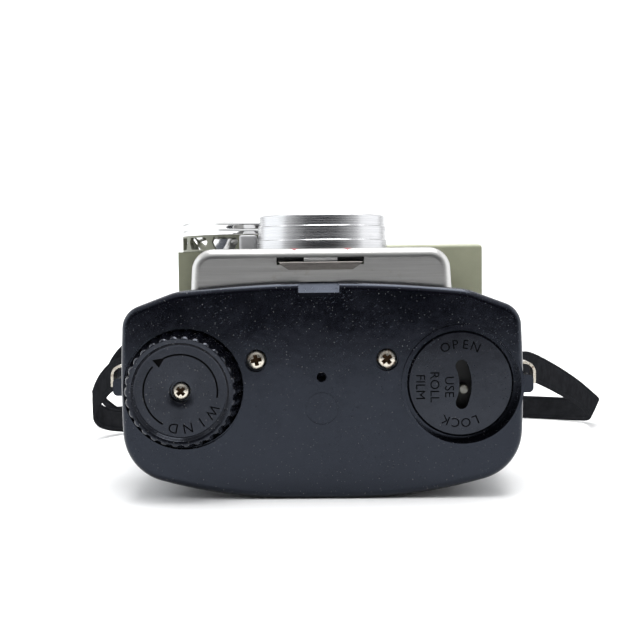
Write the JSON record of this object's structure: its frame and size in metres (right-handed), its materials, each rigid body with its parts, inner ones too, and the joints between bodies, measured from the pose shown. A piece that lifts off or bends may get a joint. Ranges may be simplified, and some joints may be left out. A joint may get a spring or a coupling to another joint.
{
  "type": "roll-film camera with flash reflector",
  "caption": "Boxy moulded roll-film camera lying on its back, with wind knob, lock disc, stepped lens barrel, round flash reflector, raised viewfinder cover and a folded neck strap.",
  "frame": {"origin": "centre of the camera's footprint on the surface it lies on, back down, strap left out", "axes": "+Z the way the lens looks, -Y the camera's bottom, +Y its top, +X to the finder side"},
  "size_m": [0.1817, 0.1551, 0.072],
  "materials": {
    "black_moulding": "glossy",
    "black_knob": "glossy",
    "inner_moulding": "matt",
    "red_window": "clear",
    "spring_steel": "satin",
    "nickel": "polished",
    "strap_vinyl": "satin",
    "brass_parts": "satin",
    "brushed_aluminium": "brushed",
    "turned_aluminium": "turned",
    "black_metal": "matt",
    "clear_glass": "polished",
    "grey_green_moulding": "satin",
    "chrome_rim": "polished",
    "mirror_bowl": "polished",
    "ejector_plastic": "satin",
    "battery_case": "satin"
  },
  "bodies": {
    "back": {"back_shell": "black_moulding", "film_window": "red_window", "window_retainer": "spring_steel", "film_pressure_plate": "spring_steel", "lock_catch": "spring_steel", "strap_loop_left": "nickel", "strap_loop_right": "nickel", "neck_strap": "strap_vinyl"},
    "front": {"bottom_plate": "black_moulding", "bottom_screws": "nickel", "knob_bush": "brass_parts", "lock_retainer": "black_knob", "click_spring": "spring_steel", "supply_pin": "spring_steel", "film_frame_bottom": "inner_moulding", "film_frame_top": "inner_moulding", "tunnel_walls": "inner_moulding", "film_gate": "inner_moulding", "lens_board": "inner_moulding", "spool_pins": "nickel", "supply_spring": "spring_steel", "front_shell": "black_moulding", "front_housing": "brushed_aluminium", "lens_barrel": "turned_aluminium", "lens_cone": "black_metal", "lens_glass": "clear_glass", "lens_retainer": "black_metal", "shutter_plate": "black_metal", "blade_spring": "spring_steel", "release_spring": "spring_steel", "top_cover": "grey_green_moulding", "finder_tunnel": "inner_moulding", "finder_front_lens": "clear_glass", "finder_eye_lens": "clear_glass", "flash_collar": "grey_green_moulding", "reflector_rim": "chrome_rim", "flash_reflector": "mirror_bowl", "bulb_socket": "brass_parts", "socket_insulator": "inner_moulding", "socket_contact": "brass_parts", "ejector_spring": "spring_steel", "battery_tray": "inner_moulding", "batteries": "battery_case", "battery_contact": "spring_steel", "battery_springs": "spring_steel"},
    "winder": {"wind_knob": "black_knob", "knob_screw": "nickel", "take_up_key": "nickel", "take_up_spool": "inner_moulding"},
    "lock": {"lock_disc": "black_knob", "lock_cam": "spring_steel"},
    "exposure": {"exposure_lever": "brushed_aluminium", "aperture_plate": "black_metal"},
    "release": {"shutter_release": "turned_aluminium"},
    "blade": {"shutter_blade": "black_metal"},
    "ejector": {"ejector_button": "ejector_plastic"}
  },
  "joints": [
    {"name": "front_lift", "type": "slide", "parent": "back", "child": "front", "axis": [0, 0, 1], "range_m": [0, 0.06]},
    {"name": "wind_turn", "type": "hinge", "parent": "front", "child": "winder", "pos_m": [-0.0345, -0.04225, 0.028], "axis": [0, -1, 0], "continuous": true},
    {"name": "lock_turn", "type": "hinge", "parent": "front", "child": "lock", "pos_m": [0.035, -0.04225, 0.0283], "axis": [0, -1, 0], "range_deg": [0, 90]},
    {"name": "exposure_slide", "type": "slide", "parent": "front", "child": "exposure", "axis": [1, 0, 0], "range_m": [-0.0064, 0.0064]},
    {"name": "release_press", "type": "slide", "parent": "front", "child": "release", "axis": [0, -1, 0], "range_m": [0, 0.005], "stiffness_N_per_m": 120, "springref_m": -0.002},
    {"name": "blade_swing", "type": "hinge", "parent": "front", "child": "blade", "pos_m": [0.009, 0.00075, 0.0564], "axis": [0, 0, 1], "range_deg": [0, 50]},
    {"name": "eject_press", "type": "slide", "parent": "front", "child": "ejector", "axis": [0, -1, 0], "range_m": [0, 0.003], "stiffness_N_per_m": 150, "springref_m": -0.002}
  ],
  "couplings": [
    {"joint": "blade_swing", "follows": "release_press", "rad_per_m": 174}
  ]
}
